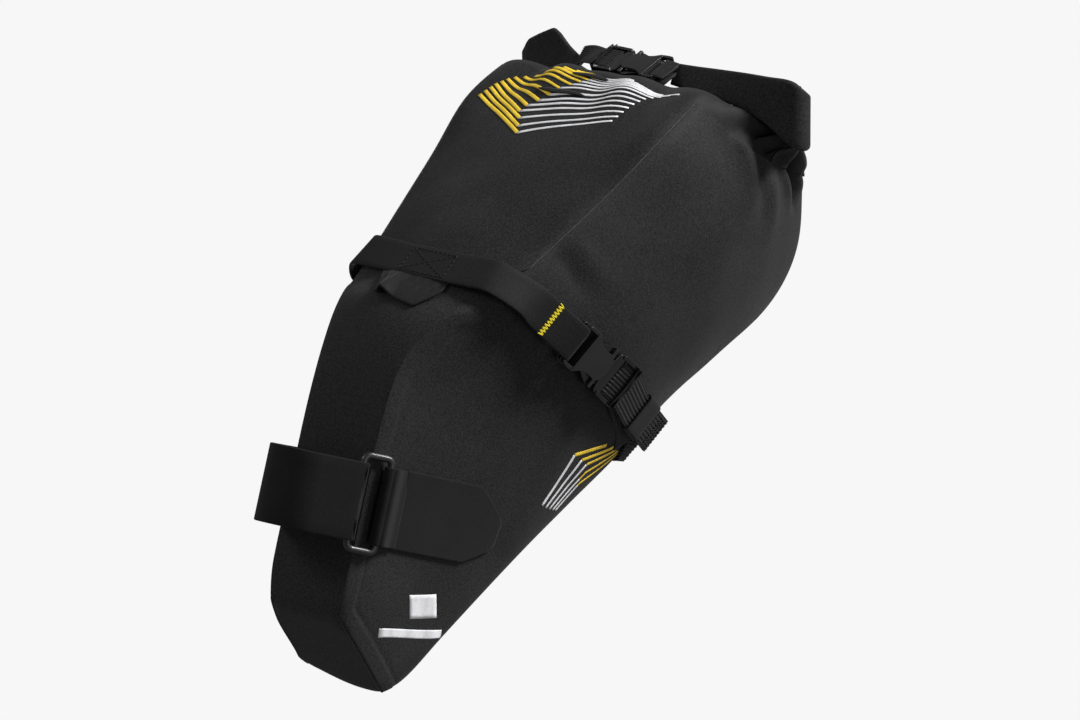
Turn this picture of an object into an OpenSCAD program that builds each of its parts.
// Roll-top saddle bag for a bicycle, drawn as it hangs behind the seatpost and under the saddle.
// +Y runs to the rear, +Z is up and +X is the rider's left. The origin is on the seatpost's axis,
// at mid-height of the strap that goes round it.

/* [Seatpost] */
// Lean of the seatpost from vertical, degrees
post_lean = 18.3; // [16:0.1:20]
// Inner radius of the loop round the seatpost
post_r = 22; // [20:0.5:22]
// Width of the hook-and-loop seatpost strap
post_strap_w = 50; // [38:1:52]
// Thickness of the seatpost strap
post_strap_t = 1.8; // [1.2:0.1:1.9]

/* [Bag body] */
// Width of the stiff front panel along the seatpost
front_w = 62; // [58:1:64]
// Width across the top panel at the roll-top's mouth
mouth_w = 168; // [160:1:174]
// Thickness of the coated fabric and its backing
wall = 1.3; // [0.9:0.1:1.6]
// Thickness of the stiffener sheets
stiffener_t = 1.2; // [0.8:0.1:1.5]

/* [Roll-top] */
// Half-length of the rolled mouth, to the fold at each end
roll_half = 110; // [104:1:110]
// Height of the flat roll
roll_h = 38; // [34:1:40]
// Thickness of the roll, several turns of fabric
roll_t = 11; // [8:0.5:11]
// Height by which the roll's ends stand above its middle
roll_sag = 28; // [20:1:30]

/* [Straps] */
// Width of the saddle strap and its webbing
web_w = 25; // [20:1:26]
// Thickness of the laminated saddle strap
strap_t = 1.6; // [1.2:0.1:1.8]
// Thickness of the ribbed webbing
web_t = 1.5; // [1.2:0.1:1.6]
// Height of the gap left under the saddle strap for a saddle rail
rail_gap = 8; // [7:0.5:9]

/* [Buckles] */
// Length of a closed side-release buckle
buckle_len = 64; // [64:1:66]
// Width of a buckle across its body
buckle_w = 31; // [31:1:32]
// Thickness of a buckle's socket
buckle_t = 10.4; // [10.4:0.1:11]
// Size of the roll-top's buckle against the side buckles
roll_buckle_k = 0.82; // [0.8:0.01:0.9]

/* [Hidden] */
$fn = 48;

fabric = [0.11, 0.11, 0.115];
fabric_dark = [0.07, 0.07, 0.075];
strap_black = [0.14, 0.14, 0.145];
web_black = [0.09, 0.09, 0.1];
plastic = [0.05, 0.05, 0.055];
stiff_grey = [0.35, 0.35, 0.36];
yellow = [0.92, 0.75, 0.2];

panel_y = 23;                   // front panel's outer face, behind the seatpost's axis
gap = 0.4;                      // clearance between layers that lie on each other

// The bag is lofted through slices that run from the top seam line T to the bottom line B, in the
// frame whose Z is the seatpost. Each row: T's y and z, B's y and z, half-width at the top seams,
// half-width at the bottom seams, bulge of the sides, crown of the top, depth of the rounded base.
slices = [
    [panel_y, -74,  86, -119, front_w / 2, 28, 2, 0, 0],
    [panel_y, -40, 110, -103, front_w / 2 + 1, 28, 4, 0, 3],
    [panel_y,   0, 138,  -73, front_w / 2 + 1, 29, 5, 0, 5],
    [23,       52, 180,  -27, front_w / 2 + 1, 33, 9, 1, 8],
    [28,       92, 221,   16, front_w / 2 + 3, 38, 15, 4, 11],
    [44,      121, 255,   53, 43, 43, 19, 9, 13],
    [75,      145, 291,   94, 59, 47, 23, 15, 15],
    [107,     183, 329,  134, 69, 52, 26, 18, 17],
    [138,     222, 362,  170, 78, 58, 26, 16, 19],
    [169,     264, 376,  213, mouth_w / 2 + 2, 61, 23, 9, 20],
    [200,     293, 362,  262, mouth_w / 2, 65, 18, 5, 20]
];
last = len(slices) - 1;
steps = 2;                      // stations between two slices
top_cols = 10;
side_cols = 10;
base_cols = 8;

function lerp(a, b, t) = a + (b - a) * t;
function unit(v) = v / norm(v);
function spline(a, b, c, d, t) =
    b + (c - a) * t / 2 + (2 * a - 5 * b + 4 * c - d) * t * t / 2
    + (3 * b - a - 3 * c + d) * t * t * t / 2;
function slice(k) = let (
        i = min(max(floor(k), 0), last - 1),
        a = slices[max(i - 1, 0)],
        d = slices[min(i + 2, last)]
    ) spline(a, slices[i], slices[i + 1], d, k - i);

// A point at height fraction v of slice s, x to the side, with the fabric's thickness t taken off.
function in_slice(s, x, v, t) = let (
        h = norm([s[2] - s[0], s[3] - s[1]]),
        w = t / h + v * (1 - 2 * t / h)
    ) [x, lerp(s[0], s[2], w), lerp(s[1], s[3], w)];
function depth(s) = norm([s[2] - s[0], s[3] - s[1]]);
function seam_v(s) = 1 - s[8] / depth(s);
function top_pt(k, a, t = 0) = let (s = slice(k))
    in_slice(s, a * (s[4] - t), -s[7] / depth(s) * (1 - a * a), t);
function side_x(s, b, t = 0) = lerp(s[4], s[5], b) - t + s[6] * sin(180 * b);
function side_pt(k, b, t = 0) = let (s = slice(k))
    in_slice(s, side_x(s, b, t), b * seam_v(s), t);
function base_pt(k, a, t = 0) = let (s = slice(k), v = seam_v(s))
    in_slice(s, a * (s[5] - t), v + (1 - v) * (1 - a * a), t);
// The flat nose face is the first slice itself.
function nose_pt(a, b, t = 0) = let (p = side_pt(nose_k(t), b, t)) [a * p.x, p.y, p.z];
function nose_k(t) = t / 33;

// Side surface above a point of the side view: find the slice that passes through [y, z].
function across(k, y, z) = let (s = slice(k))
    (s[2] - s[0]) * (z - s[1]) - (s[3] - s[1]) * (y - s[0]);
function find_k(y, z, lo = 0, hi = last, n = 18) = n == 0 ? (lo + hi) / 2 :
    let (m = (lo + hi) / 2)
    across(m, y, z) > 0 ? find_k(y, z, m, hi, n - 1) : find_k(y, z, lo, m, n - 1);
function on_side(y, z, out = 0) = let (
        s = slice(find_k(y, z)),
        v = norm([y - s[0], z - s[1]]) / depth(s)
    ) [side_x(s, min(v / seam_v(s), 1)) + out, y, z];
function side_normal(y, z) = let (
        p = on_side(y, z),
        dy = on_side(y + 2, z) - p,
        dz = on_side(y, z + 2) - p
    ) unit(cross(dy, dz));
function off_side(y, z, out) = on_side(y, z) + out * side_normal(y, z);

// A closed sheet between an outer and an inner grid of points.
module sheet(outer, inner, flip = false) {
    rows = len(outer);
    cols = len(outer[0]);
    n = rows * cols;
    function id(i, j) = i * cols + j;
    points = concat([for (r = outer) each r], [for (r = inner) each r]);
    skin = [for (i = [0 : rows - 2], j = [0 : cols - 2]) each [
        [id(i, j), id(i + 1, j), id(i + 1, j + 1)], [id(i, j), id(i + 1, j + 1), id(i, j + 1)],
        [n + id(i, j), n + id(i + 1, j + 1), n + id(i + 1, j)],
        [n + id(i, j), n + id(i, j + 1), n + id(i + 1, j + 1)]]];
    edge_rows = [for (i = [0 : rows - 2]) each [
        [id(i, 0), n + id(i + 1, 0), id(i + 1, 0)], [id(i, 0), n + id(i, 0), n + id(i + 1, 0)],
        [id(i, cols - 1), id(i + 1, cols - 1), n + id(i + 1, cols - 1)],
        [id(i, cols - 1), n + id(i + 1, cols - 1), n + id(i, cols - 1)]]];
    edge_cols = [for (j = [0 : cols - 2]) each [
        [id(0, j), id(0, j + 1), n + id(0, j + 1)], [id(0, j), n + id(0, j + 1), n + id(0, j)],
        [id(rows - 1, j), n + id(rows - 1, j + 1), id(rows - 1, j + 1)],
        [id(rows - 1, j), n + id(rows - 1, j), n + id(rows - 1, j + 1)]]];
    faces = concat(skin, edge_rows, edge_cols);
    polyhedron(points, [for (f = faces) flip ? f : [f[0], f[2], f[1]]]);
}

// Stations put between those of a strap's path, so that it bends smoothly.
function smooth(path, steps) = let (n = len(path) - 1) concat(
    [for (i = [0 : n - 1], j = [0 : steps - 1])
        spline(path[max(i - 1, 0)], path[i], path[i + 1], path[min(i + 2, n)], j / steps)],
    [path[n]]);

// A flat strap swept along stations [centre, outward normal, width, thickness].
module ribbon(path) {
    n = len(path);
    function along(i) = unit(path[min(i + 1, n - 1)][0] - path[max(i - 1, 0)][0]);
    rings = [for (i = [0 : n - 1]) let (
            w = unit(cross(along(i), path[i][1])) * path[i][2] / 2,
            up = unit(cross(unit(cross(along(i), path[i][1])), along(i))) * path[i][3] / 2,
            c = path[i][0]
        ) [c + w + up, c - w + up, c - w - up, c + w - up]];
    e = 4 * (n - 1);
    faces = concat(
        [for (i = [0 : n - 2], j = [0 : 3]) let (a = 4 * i + j, b = 4 * i + (j + 1) % 4)
            each [[a, b, b + 4], [a, b + 4, a + 4]]],
        [[0, 2, 1], [0, 3, 2], [e, e + 1, e + 2], [e, e + 2, e + 3]]);
    polyhedron([for (r = rings) each r], faces);
}

// Turns the seatpost's frame into the bike's frame.
module hung() rotate([-post_lean, 0, 0]) children();
module left_and(side) mirror([side < 0 ? 1 : 0, 0, 0]) children();

// ---- Bag body ----------------------------------------------------------------------------------

stations = [for (i = [0 : last * steps]) i / steps];
function inner_k(k) = max(k, nose_k(wall));

module front_panel() {
    function rows(t) = concat(
        [for (i = [side_cols : -1 : 1]) [for (j = [0 : top_cols])
            nose_pt(2 * j / top_cols - 1, i / side_cols, t)]],
        [for (k = stations) [for (j = [0 : top_cols])
            top_pt(t > 0 ? inner_k(k) : k, 2 * j / top_cols - 1, t)]]);
    color(fabric) hung() sheet(rows(0), rows(wall), true);
}

// The sides' rear edge dips under the roll-top.
function side_end(b) = last - 0.4 * sin(180 * pow(b, 0.85));
module side_panel(side) {
    function rows(t) = [for (k = stations) [for (j = [0 : side_cols]) let (b = j / side_cols)
        side_pt(min(t > 0 ? inner_k(k) : k, side_end(b)), b, t)]];
    color(fabric) hung() left_and(side) sheet(rows(0), rows(wall), true);
}

module base_panel() {
    function rows(t) = [for (k = stations) [for (j = [0 : base_cols])
        base_pt(t > 0 ? inner_k(k) : k, 2 * j / base_cols - 1, t)]];
    color(fabric_dark) hung() sheet(rows(0), rows(wall));
}

// Stiffeners lie inside the fabric, one layer in.
stiffener_in = wall + gap;
module front_stiffener() {
    ks = [for (i = [0 : 13]) 0.35 + i * 0.27];
    function rows(t) = [for (k = ks) [for (j = [0 : 6]) top_pt(k, 0.84 * (j / 3 - 1), t)]];
    color(stiff_grey) hung() sheet(rows(stiffener_in), rows(stiffener_in + stiffener_t), true);
}
module side_stiffener(side) {
    ks = [for (i = [0 : 12]) 0.4 + i * 0.27];
    function rows(t) = [for (k = ks) [for (j = [0 : 5]) side_pt(k, 0.1 + 0.09 * j, t)]];
    color(stiff_grey) hung() left_and(side)
        sheet(rows(stiffener_in), rows(stiffener_in + stiffener_t), true);
}

// ---- Roll-top ----------------------------------------------------------------------------------
// The roll is drawn in the bike's frame: a flat band that stands behind the bag's hump, with its
// middle low and its ends high. Each end folds forward into an ear, and the ears' straps meet in
// the buckle over the top panel.

roll_y = 342;                   // front face of the roll
roll_low = 153;                 // foot of the roll at its middle
ear_r = 8.5;                    // outer radius of the fold at each end of the roll
function roll_foot(x) = roll_low + roll_sag * pow(x / roll_half, 2);
function to_bike(p) = [p.x, p.y * cos(post_lean) + p.z * sin(post_lean),
    p.z * cos(post_lean) - p.y * sin(post_lean)];

module collar() {
    // One closed ring of fabric, sewn inside the mouth and gathered into the flat foot of the roll.
    ring_n = 2 * side_cols + top_cols + base_cols;
    seam = wall + gap;
    lip = 6.5;                  // the fabric rises by this much into the roll's foot
    foot_y = roll_y + roll_t / 2;
    foot_half_t = 3;
    reach = roll_half - 4;
    rows = 8;
    function side(b, back) = side_pt(side_end(b) - back, b, seam);
    function mouth(back) = [for (p = concat(
            [for (j = [0 : top_cols - 1]) top_pt(last - back, 2 * j / top_cols - 1, seam)],
            [for (j = [0 : side_cols - 1]) side(j / side_cols, back)],
            [for (j = [0 : base_cols - 1]) base_pt(last - back, 1 - 2 * j / base_cols, seam)],
            [for (j = [0 : side_cols - 1]) let (p = side(1 - j / side_cols, back)) [-p.x, p.y, p.z]]
        )) to_bike(p)];
    function foot(drop) = concat(
        [for (j = [0 : top_cols - 1]) let (x = reach * (2 * j / top_cols - 1))
            [x, foot_y - foot_half_t, roll_foot(x) - drop]],
        [for (j = [0 : side_cols - 1]) let (a = 180 * j / side_cols)
            [reach + 2 * sin(a), foot_y - foot_half_t * cos(a), roll_foot(reach) - drop]],
        [for (j = [0 : base_cols - 1]) let (x = reach * (1 - 2 * j / base_cols))
            [x, foot_y + foot_half_t, roll_foot(x) - drop]],
        [for (j = [0 : side_cols - 1]) let (a = 180 * j / side_cols)
            [-reach - 2 * sin(a), foot_y + foot_half_t * cos(a), roll_foot(reach) - drop]]);
    outer = [for (i = [0 : rows]) let (
            u = min(max(i - 1, 0) / (rows - 2), 1),
            m = mouth(i == 0 ? 0.2 : -0.06),
            s = foot(i < rows ? gap + lip : gap)
        ) [for (j = [0 : ring_n - 1])
            lerp(m[j], s[j], u) + [0, 0, (j < top_cols ? 5 : -2) * sin(180 * u) * (1 - 2 * u / 3)]]];
    // The inner face lies one wall further in, along each point's own normal.
    function outwards(i, j) = unit(cross(
        outer[i][(j + 1) % ring_n] - outer[i][(j + ring_n - 1) % ring_n],
        outer[min(i + 1, rows)][j] - outer[max(i - 1, 0)][j]));
    inner = [for (i = [0 : rows]) [for (j = [0 : ring_n - 1]) outer[i][j] - wall * outwards(i, j)]];
    n = (rows + 1) * ring_n;
    function id(i, j) = i * ring_n + j % ring_n;
    faces = concat(
        [for (i = [0 : rows - 1], j = [0 : ring_n - 1]) each [
            [id(i, j), id(i + 1, j), id(i + 1, j + 1)], [id(i, j), id(i + 1, j + 1), id(i, j + 1)],
            [n + id(i, j), n + id(i + 1, j + 1), n + id(i + 1, j)],
            [n + id(i, j), n + id(i, j + 1), n + id(i + 1, j + 1)]]],
        [for (j = [0 : ring_n - 1]) each [
            [id(0, j), id(0, j + 1), n + id(0, j + 1)], [id(0, j), n + id(0, j + 1), n + id(0, j)],
            [id(rows, j), n + id(rows, j + 1), id(rows, j + 1)],
            [id(rows, j), n + id(rows, j), n + id(rows, j + 1)]]]);
    color(fabric) polyhedron([for (r = concat(outer, inner)) each r], faces);
}

module band(y0, y1, low, high, half) {
    // A standing band from -half to half whose foot and head follow the roll's curve.
    n = 16;
    xs = [for (i = [0 : n]) half * (2 * i / n - 1)];
    rings = [for (x = xs) [[x, y0, roll_foot(x) + low], [x, y1, roll_foot(x) + low],
        [x, y1, roll_foot(x) + high], [x, y0, roll_foot(x) + high]]];
    e = 4 * n;
    polyhedron([for (r = rings) each r], concat(
        [for (i = [0 : n - 1], j = [0 : 3]) let (a = 4 * i + j, b = 4 * i + (j + 1) % 4)
            each [[a, b + 4, b], [a, a + 4, b + 4]]],
        [[0, 1, 2], [0, 2, 3], [e, e + 2, e + 1], [e, e + 3, e + 2]]));
}

core_t = 1.6;                   // stiffener strip that the mouth is rolled round
module roll_stiffener() color(stiff_grey)
    band(roll_y + (roll_t - core_t) / 2, roll_y + (roll_t + core_t) / 2, 8, roll_h - 8, roll_half - 8);
module roll() color(fabric) difference() {
    band(roll_y, roll_y + roll_t, 0, roll_h, roll_half);
    band(roll_y + (roll_t - core_t) / 2 - 0.2, roll_y + (roll_t + core_t) / 2 + 0.2,
        7.8, roll_h - 7.8, roll_half - 7.8);
}

// Ear stations: x, y and z of the lower edge, y and z of the upper edge.
ear_t = 5;
ear_y = roll_y - 8;
ear_path = [
    [roll_half + 1.2, roll_y + 7.5, 179, roll_y + 7.5, 219],
    [roll_half + 5.5, roll_y + 6, 178.5, roll_y + 6, 219.3],
    [roll_half + 7.4, roll_y + 0.5, 178, roll_y + 0.5, 219.6],
    [roll_half + 5.5, ear_y + 1.5, 180, ear_y + 1.5, 220],
    [roll_half - 1, ear_y - 1, 187, ear_y - 1, 221],
    [96, ear_y - 4, 198, ear_y, 222],
    [79, ear_y - 8, 204, ear_y + 3, 223],
    [60, ear_y - 13, 209, ear_y + 1, 223]
];
module ear(side) {
    rings = [for (i = [0 : len(ear_path) - 1]) let (
            p = ear_path[i],
            a = ear_path[max(i - 1, 0)],
            b = ear_path[min(i + 1, len(ear_path) - 1)],
            low = [p[0], p[1], p[2]],
            high = [p[0], p[3], p[4]],
            t = ear_t - 2.6 * max(i - 4, 0) / 3,
            out = unit(cross(high - low, [b[0] - a[0], b[1] - a[1], 0])) * t / 2
        ) [low - out, low + out, high + out, high - out]];
    n = len(rings) - 1;
    e = 4 * n;
    color(fabric) left_and(side) polyhedron([for (r = rings) each r], concat(
        [for (i = [0 : n - 1], j = [0 : 3]) let (a = 4 * i + j, b = 4 * i + (j + 1) % 4)
            each [[a, b + 4, b], [a, a + 4, b + 4]]],
        [[0, 1, 2], [0, 2, 3], [e, e + 2, e + 1], [e, e + 3, e + 2]]));
}

// The roll's buckle lies across the bag, its face tilted up and forward.
roll_buckle_at = [0, 313, 221.5];
roll_buckle_tilt = 22;
roll_face = [0, -sin(roll_buckle_tilt), cos(roll_buckle_tilt)];
roll_web_w = web_w * roll_buckle_k;
// The left strap is sewn over the socket's bar and the right one runs over the plug's ladder bars.
function roll_strap_path(side) = let (
        end_x = roll_buckle_k * (side > 0 ? half_len - 2.4 : bar_a) + side * roll_buckle_at.x,
        at = [end_x, roll_buckle_at.y, roll_buckle_at.z] + roll_face * roll_buckle_k * (bar_r + 0.5 + web_t / 2)
    ) [
        [[59.5, ear_y - 6.4, 216.3], [0, -0.72, 0.7], 17, web_t],
        [[49, ear_y - 10, 219.5], [0, -0.6, 0.8], 19, web_t],
        [at + [13, 0, 0], roll_face, roll_web_w, web_t],
        [at, roll_face, roll_web_w, web_t]
    ];
module roll_strap(side) color(web_black) left_and(side) ribbon(roll_strap_path(side));

// ---- Side-release buckle -------------------------------------------------------------------------
// Buckle frame: X runs from the socket's bar to the plug's end, Y across, Z out of its face.

bar_r = 1.9;
half_len = buckle_len / 2;
half_w = buckle_w / 2;
mouth_x = 6;                    // the socket's open end
plate_t = 2;                    // thickness of the socket's two plates
cavity = buckle_t / 2 - plate_t;
post_in = half_w - 1.6;         // the mouth's side posts hold the prongs behind them
pin_x = 12;                     // the prongs flex about these points
pin_y = 10.3;
pin_r = 1.4;

module plate_outline() difference() {
    translate([-21.5, -half_w]) square([21.5 + mouth_x, buckle_w]);
    for (s = [-1, 1]) translate([-8, s * (half_w + 6.5)]) circle(r = 13);
    for (s = [-1, 1]) translate([mouth_x, s * half_w]) rotate(45) square(5, center = true);
}
module socket() color(plastic) {
    for (z = [cavity, -buckle_t / 2]) translate([0, 0, z]) linear_extrude(plate_t) plate_outline();
    translate([-21.5, -half_w, -cavity]) cube([3, buckle_w, 2 * cavity]);
    for (s = [-1, 1]) translate([1.2, s > 0 ? post_in : -half_w, -cavity - 1])
        cube([2.2, 1.6, 2 * cavity + 2]);
    for (s = [-1, 1]) translate([-half_len, s > 0 ? half_w - 2 : -half_w, -3])
        cube([half_len - 20, 2, 6]);
    translate([-half_len + 2.4, 0, 0]) rotate([90, 0, 0]) cylinder(r = bar_r, h = buckle_w - 2, center = true);
}
ladder_in = 13;                 // inside half-width of the plug's ladder frame
bar_a = 20;
bar_b = 29.4;
module plug() color(plastic) difference() {
    union() {
        translate([mouth_x + 0.5, -half_w + 0.3, -4]) cube([8, buckle_w - 0.6, 8]);
        translate([-16, -1.8, -2.2]) cube([16 + mouth_x + 1, 3.6, 4.4]);
        for (s = [-1, 1]) translate([mouth_x + 5, s > 0 ? ladder_in : -half_w - 0.5, -2.6])
            cube([half_len - mouth_x - 5, half_w + 0.5 - ladder_in, 5.2]);
        translate([bar_a, 0, 0]) rotate([90, 0, 0]) cylinder(r = bar_r, h = 2 * ladder_in + 1, center = true);
        translate([bar_b, 0, 0]) rotate([90, 0, 0]) cylinder(r = bar_r, h = 2 * ladder_in + 1, center = true);
    }
    for (s = [-1, 1]) translate([pin_x, s * pin_y, -3]) {
        cylinder(r = pin_r + 0.1, h = 6);
        translate([-8, s > 0 ? -3.6 : -1.8, 0]) cube([8, 5.4, 6]);
    }
}
module prong(s) color(plastic) mirror([0, s < 0 ? 1 : 0, 0]) {
    translate([pin_x, pin_y, -2.6]) cylinder(r = pin_r, h = 5.2);
    translate([0, 0, -2.6]) linear_extrude(5.2) polygon([
        [pin_x, pin_y + 1.1], [1.6, pin_y + 1.1], [0.6, half_w - 0.3], [-6, half_w - 2.2],
        [-13, 10.5], [-16, 8.2], [-15.6, 6.8], [-6, 8.6], [2, pin_y - 1.3], [pin_x, pin_y - 1.1]]);
}

// ---- Placing the side buckles ----------------------------------------------------------------------

socket_end = off_side(130, 130, 9.5);
plug_end = off_side(193.5, 107.7, 8.5);
buckle_mid = (socket_end + plug_end) / 2;
buckle_dir = unit(plug_end - socket_end);
buckle_up = unit(cross(cross(buckle_dir, side_normal(162, 119)), buckle_dir));
module at_frame(origin, x_dir, z_dir) {
    y_dir = cross(z_dir, x_dir);
    multmatrix([[x_dir.x, y_dir.x, z_dir.x, origin.x], [x_dir.y, y_dir.y, z_dir.y, origin.y],
        [x_dir.z, y_dir.z, z_dir.z, origin.z], [0, 0, 0, 1]]) children();
}
module side_buckle(side) hung() left_and(side) at_frame(buckle_mid, buckle_dir, buckle_up) children();
module roll_buckle() at_frame(roll_buckle_at, [-1, 0, 0], roll_face) scale(roll_buckle_k) children();

function buckle_point(u, up) = buckle_mid + buckle_dir * u + buckle_up * up;

// ---- Saddle strap and its webbing -------------------------------------------------------------------

strap_k = 6.2;                  // the saddle strap crosses the top panel along this slice
function top_normal(k, a) = let (
        p = top_pt(k, a),
        dk = top_pt(k + 0.1, a) - p,
        da = top_pt(k, a + 0.02) - p
    ) unit(cross(da, dk));
function over_top(a, out) = [top_pt(strap_k, a) + out * top_normal(strap_k, a), top_normal(strap_k, a), web_w, strap_t];
function over_side(y, z, out) = [off_side(y, z, out), side_normal(y, z), web_w, strap_t];

strap_half = [
    over_top(0, 2), over_top(0.27, 2), over_top(0.45, 3.6), over_top(0.66, rail_gap),
    [top_pt(strap_k, 0.88) + (rail_gap + 1.5) * top_normal(strap_k, 0.9), unit([0.45, -0.72, 0.53]), web_w, strap_t],
    [off_side(92, 148.5, rail_gap - 0.5), unit([0.8, -0.5, 0.33]), web_w, strap_t],
    over_side(106, 141.5, 6.8), over_side(117, 136, 7.5),
    [buckle_point(-half_len - 1.4, 3.4), buckle_up, web_w, strap_t],
    [buckle_point(-half_len + 2.4, 3.4), buckle_up, web_w, strap_t]
];
function mirrored(s) = [[-s[0].x, s[0].y, s[0].z], [-s[1].x, s[1].y, s[1].z], s[2], s[3]];
module saddle_strap() color(strap_black) hung() ribbon(smooth(concat(
    [for (i = [len(strap_half) - 1 : -1 : 1]) mirrored(strap_half[i])], strap_half), 3));

module tail_webbing(side) color(web_black) {
    side_buckle(side) rotate([90, 0, 0]) linear_extrude(web_w, center = true) {
        translate([bar_a, 0]) difference() {
            circle(r = bar_r + 0.3 + web_t);
            circle(r = bar_r + 0.3);
            translate([0, -10]) square(20);
        }
        translate([bar_a - 0.01, bar_r + 0.3]) square([half_len - bar_a + 1, web_t]);
        translate([bar_a - 0.01, -bar_r - 0.3 - web_t]) square([3, web_t]);
    }
    hung() left_and(side) ribbon([
        [buckle_point(half_len + 0.9, bar_r + 0.3 + web_t / 2), buckle_up, web_w, web_t],
        [buckle_point(half_len + 8, bar_r + 0.2 + web_t / 2), buckle_up, web_w, web_t],
        [off_side(213, 97.9, 8), side_normal(219, 96), web_w, web_t],
        [off_side(242.6, 87.6, 8), side_normal(242, 88), web_w, web_t],
        [off_side(246, 86.5, 8), side_normal(242, 88), web_w, 2 * web_t],
        [off_side(261.7, 81.5, 8), side_normal(242, 88), web_w, 2 * web_t]]);
}
keeper_t = 1;
module keeper(side) color(web_black) hung() left_and(side) difference() {
    ribbon([
        [off_side(221, 95, 8), side_normal(221, 95), web_w + 2.8, web_t + 2 * keeper_t + 0.6],
        [off_side(241, 88.1, 8), side_normal(241, 88), web_w + 2.8, web_t + 2 * keeper_t + 0.6]]);
    ribbon([
        [off_side(219, 95.7, 8), side_normal(221, 95), web_w + 0.6, web_t + 0.8],
        [off_side(243, 87.4, 8), side_normal(241, 88), web_w + 0.6, web_t + 0.8]]);
}
base_k = 5.35;                  // the webbing under the bag is sewn along this slice
module lower_webbing(side) color(web_black) hung() left_and(side) ribbon([
    [buckle_point(bar_a + 3.2, -bar_r - 0.3 - web_t / 2), buckle_up, web_w, web_t],
    [buckle_point(half_len - 1, -bar_r - 0.6 - web_t / 2), buckle_up, web_w, web_t],
    [off_side(213, 95, 2.6), side_normal(213, 95), web_w, web_t],
    [off_side(225, 85, 1.4), side_normal(225, 85), web_w, web_t],
    [off_side(232.5, 76, 1.3), side_normal(232.5, 76), web_w, web_t]]);
module base_webbing() {
    function base_normal(a) = let (
            p = base_pt(base_k, a),
            dk = base_pt(base_k + 0.1, a) - p,
            da = base_pt(base_k, a + 0.02) - p
        ) unit(cross(dk, da));
    half = [
        for (a = [0, 0.3, 0.6, 0.85]) [base_pt(base_k, a) + 2.2 * base_normal(a), base_normal(a), web_w, web_t],
        [base_pt(base_k, 1) + [2.2, 1.4, -1.6], unit(base_normal(1) + side_normal(240, 62)), web_w, web_t],
        [off_side(239.5, 64.5, 1.6), side_normal(236, 70), web_w, web_t]
    ];
    color(web_black) hung() ribbon(concat(
        [for (i = [len(half) - 1 : -1 : 1]) mirrored(half[i])], half));
}

// ---- Seatpost strap ----------------------------------------------------------------------------------
// Plan view round the seatpost, extruded to the strap's width.

ring_bar_r = 2.1;
ring_near = [32, 15.6];          // the ring's bar that the strap folds round
ring_far = [39.6, 33.6];        // the ring's bar held in the anchor's fold
fold_in = ring_bar_r + 0.3;
band_mid = post_r + post_strap_t / 2;
return_mid = band_mid + post_strap_t + gap;
function polar(r, a) = [r * cos(a), r * sin(a)];
function bearing(p) = atan2(p.y, p.x);
// Where a line from p that grazes the circle of radius r on its clockwise side touches it.
function graze(p, r, turn) = bearing(p) + turn * acos(r / norm(p));
fold_mid = fold_in + post_strap_t / 2;
near_way = unit(ring_near - polar(band_mid, graze(ring_near, band_mid, -1)));
near_side = [near_way.y, -near_way.x];
// Where the strap's two layers leave the circles round the seatpost for the ring.
near_graze = graze(ring_near - near_side * fold_mid, band_mid, -1);
return_graze = graze(ring_near + near_side * fold_mid, return_mid, -1);
anchor_front = [-34.5, 26.5];
far_graze = graze(anchor_front, band_mid, 1) - 360;
peel_angle = -100;
tail_end = -166;

module slab(p, q, t) {
    n = unit([p.y - q.y, q.x - p.x]) * t / 2;
    polygon([p + n, q + n, q - n, p - n]);
}
module arc(r, from, to, t) intersection() {
    difference() {
        circle(r = r + t / 2, $fn = 96);
        circle(r = r - t / 2, $fn = 96);
    }
    polygon(concat([[0, 0]], [for (i = [0 : 8]) polar(2 * r, lerp(from, to, i / 8))]));
}
module strap_width() hung() linear_extrude(post_strap_w, center = true) children();

module post_strap() color(strap_black) strap_width() {
    far_end = polar(band_mid, far_graze);
    arc(band_mid, far_graze, near_graze, post_strap_t);
    slab(far_end - 0.3 * unit(anchor_front - far_end), anchor_front, post_strap_t);
}
// The fold leaves the two layers side by side at the circle and turns round the ring's near bar.
module strap_ring_fold() {
    function start(r, a) = polar(r, a) + near_way * 0.3;
    color(strap_black) strap_width() {
        slab(start(band_mid, near_graze), ring_near - near_side * fold_mid, post_strap_t);
        slab(start(return_mid, return_graze), ring_near + near_side * fold_mid, post_strap_t);
        difference() {
            translate(ring_near) circle(r = fold_in + post_strap_t);
            translate(ring_near) circle(r = fold_in);
            translate(ring_near - near_way * 10) rotate(bearing(near_way)) square([20, 20], center = true);
        }
    }
}
module strap_return() color(strap_black) strap_width()
    arc(return_mid, peel_angle + 1.8, return_graze, post_strap_t);
module strap_tail() color(strap_black) strap_width()
    arc(return_mid, tail_end, peel_angle - 1.8, post_strap_t);

module strap_ring() color(plastic) hung()
    translate([ring_near.x, ring_near.y, 0]) rotate([90, 0, bearing(ring_far - ring_near)]) {
        // In this frame X runs from the near bar to the far one and Y along the bars.
        across = norm(ring_far - ring_near);
        half = post_strap_w / 2 + 5;
        bend_r = 4;
        for (x = [0, across]) translate([x, 0, 0]) rotate([90, 0, 0])
            cylinder(r = ring_bar_r, h = 2 * (half - bend_r), center = true);
        for (s = [-1, 1]) {
            translate([bend_r, s * half, 0]) rotate([0, 90, 0])
                cylinder(r = ring_bar_r, h = across - 2 * bend_r);
            translate([bend_r, s * (half - bend_r), 0]) rotate([0, 0, s > 0 ? 90 : 180]) bend(bend_r);
            translate([across - bend_r, s * (half - bend_r), 0]) rotate([0, 0, s > 0 ? 0 : -90]) bend(bend_r);
        }
    }
module bend(r) rotate_extrude(angle = 90) translate([r, 0]) circle(r = ring_bar_r);

patch_t = 1.6;
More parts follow.
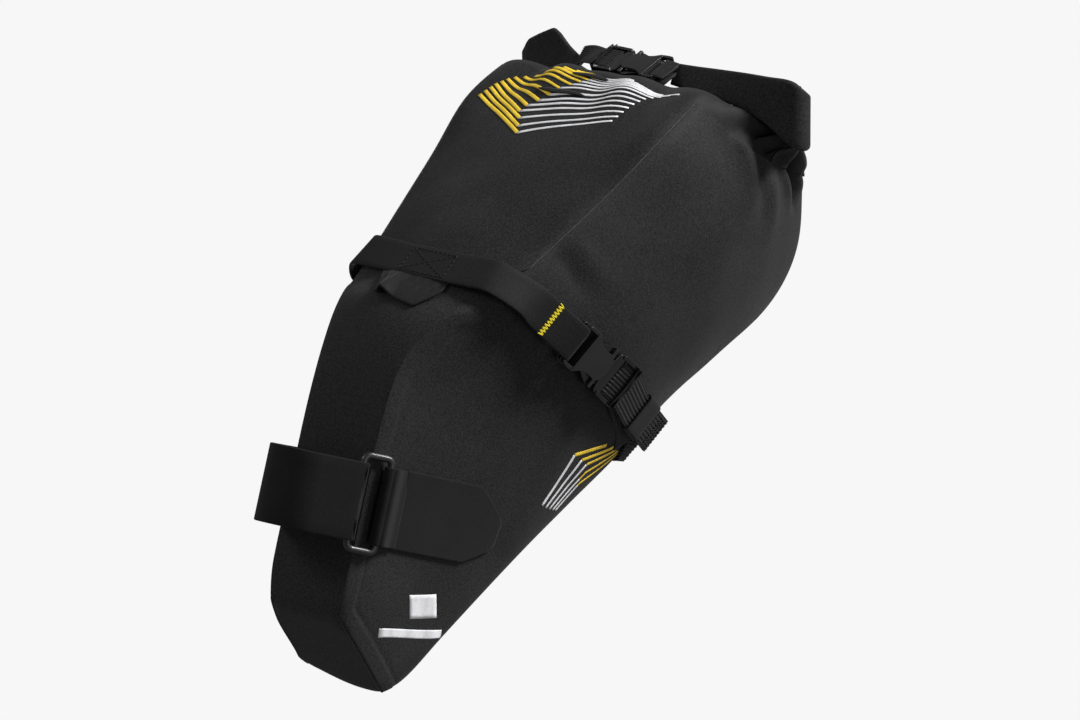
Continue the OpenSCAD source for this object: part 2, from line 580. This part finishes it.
// Rear edge of an anchor patch across its width: straight between two cut corners.
function patch_rear(v) =
    lookup(v, [[-1, 119], [-0.5, 145], [-0.33, 146.5], [0.17, 146.5], [0.33, 143], [1, 116]]);
module anchor_patch(front) {
    cols = 12;
    rows = 12;
    function grid(out) = [for (i = [0 : rows]) [for (j = [0 : cols])
        let (v = 2 * j / cols - 1, y = lerp(front, patch_rear(v), i / rows))
        on_side(y, v * post_strap_w / 2, out)]];
    sheet(grid(0.5 + patch_t), grid(0.5));
}
module ring_anchor() color(strap_black) {
    join_y = 52;
    join_x = on_side(join_y, post_strap_w / 2).x;
    hung() anchor_patch(join_y - 2);
    strap_width() {
        difference() {
            translate(ring_far) circle(r = fold_in + patch_t);
            translate(ring_far) circle(r = fold_in);
            translate(ring_far + [-10, 0]) square([20, 20]);
        }
        slab(ring_far + [fold_in + patch_t / 2, -0.1], [join_x + 1.6, join_y], patch_t);
        slab(ring_far - [fold_in + patch_t / 2, 0.1], [join_x + 0.9, join_y], patch_t);
    }
}
module strap_anchor() color(strap_black) hung() left_and(-1) anchor_patch(27.5);

// ---- Small trim ----------------------------------------------------------------------------------------

module front_tab() {
    // A short pointed tab below the saddle strap, its right end curled away from the panel.
    top_edge = [[5.86, -0.42], [5.88, 0.5]];
    low_edge = [[5.24, -0.25], [5.14, 0.5]];
    function spot(i, j) = lerp(
        lerp(low_edge[0], low_edge[1], j / 10), lerp(top_edge[0], top_edge[1], j / 10), i / 4);
    function lift(i, j) = 1 + 4 * pow(max(0, 3 - j) / 3, 2) * (1 - i / 6);
    function rows(t) = [for (i = [0 : 4]) [for (j = [0 : 10]) let (at = spot(i, j))
        top_pt(at[0], at[1]) + (lift(i, j) + t) * top_normal(at[0], at[1])]];
    color(strap_black) hung() sheet(rows(1.4), rows(0), true);
}
module light_loop() {
    // A printed patch on the top panel with two cross slots that a rear light clips into.
    ks = [for (i = [0 : 6]) 9.02 + 0.15 * i];
    function rows(t) = [for (k = ks) [for (j = [0 : 8]) let (a = -0.38 + 0.085 * j)
        top_pt(k, a) + t * top_normal(k, a)]];
    color(yellow) hung() difference() {
        sheet(rows(1.3), rows(0.5), true);
        for (slot = [[9.37, -0.14, 35], [9.77, -0.03, 26]]) let (n = top_normal(slot[0], 0))
            at_frame(top_pt(slot[0], slot[1]), [1, 0, 0], n) cube([slot[2], 1.6, 12], center = true);
    }
}

front_panel();
side_panel(1);  // left_side_panel
side_panel(-1);  // right_side_panel
base_panel();
collar();
front_stiffener();
side_stiffener(1);  // left_side_stiffener
side_stiffener(-1);  // right_side_stiffener
roll();
roll_stiffener();
ear(1);  // left_ear
ear(-1);  // right_ear
roll_strap(1);  // left_roll_strap
roll_strap(-1);  // right_roll_strap
post_strap();
strap_ring_fold();
strap_return();
strap_tail();
strap_ring();
ring_anchor();
strap_anchor();
saddle_strap();
front_tab();
light_loop();
base_webbing();
side_buckle(1) socket();  // left_socket
side_buckle(1) plug();  // left_plug
side_buckle(1) prong(1);  // left_upper_prong
side_buckle(1) prong(-1);  // left_lower_prong
tail_webbing(1);  // left_tail_webbing
keeper(1);  // left_keeper
lower_webbing(1);  // left_lower_webbing
side_buckle(-1) socket();  // right_socket
side_buckle(-1) plug();  // right_plug
side_buckle(-1) prong(1);  // right_upper_prong
side_buckle(-1) prong(-1);  // right_lower_prong
tail_webbing(-1);  // right_tail_webbing
keeper(-1);  // right_keeper
lower_webbing(-1);  // right_lower_webbing
roll_buckle() socket();  // roll_socket
roll_buckle() plug();  // roll_plug
roll_buckle() prong(1);  // roll_front_prong
roll_buckle() prong(-1);  // roll_rear_prong
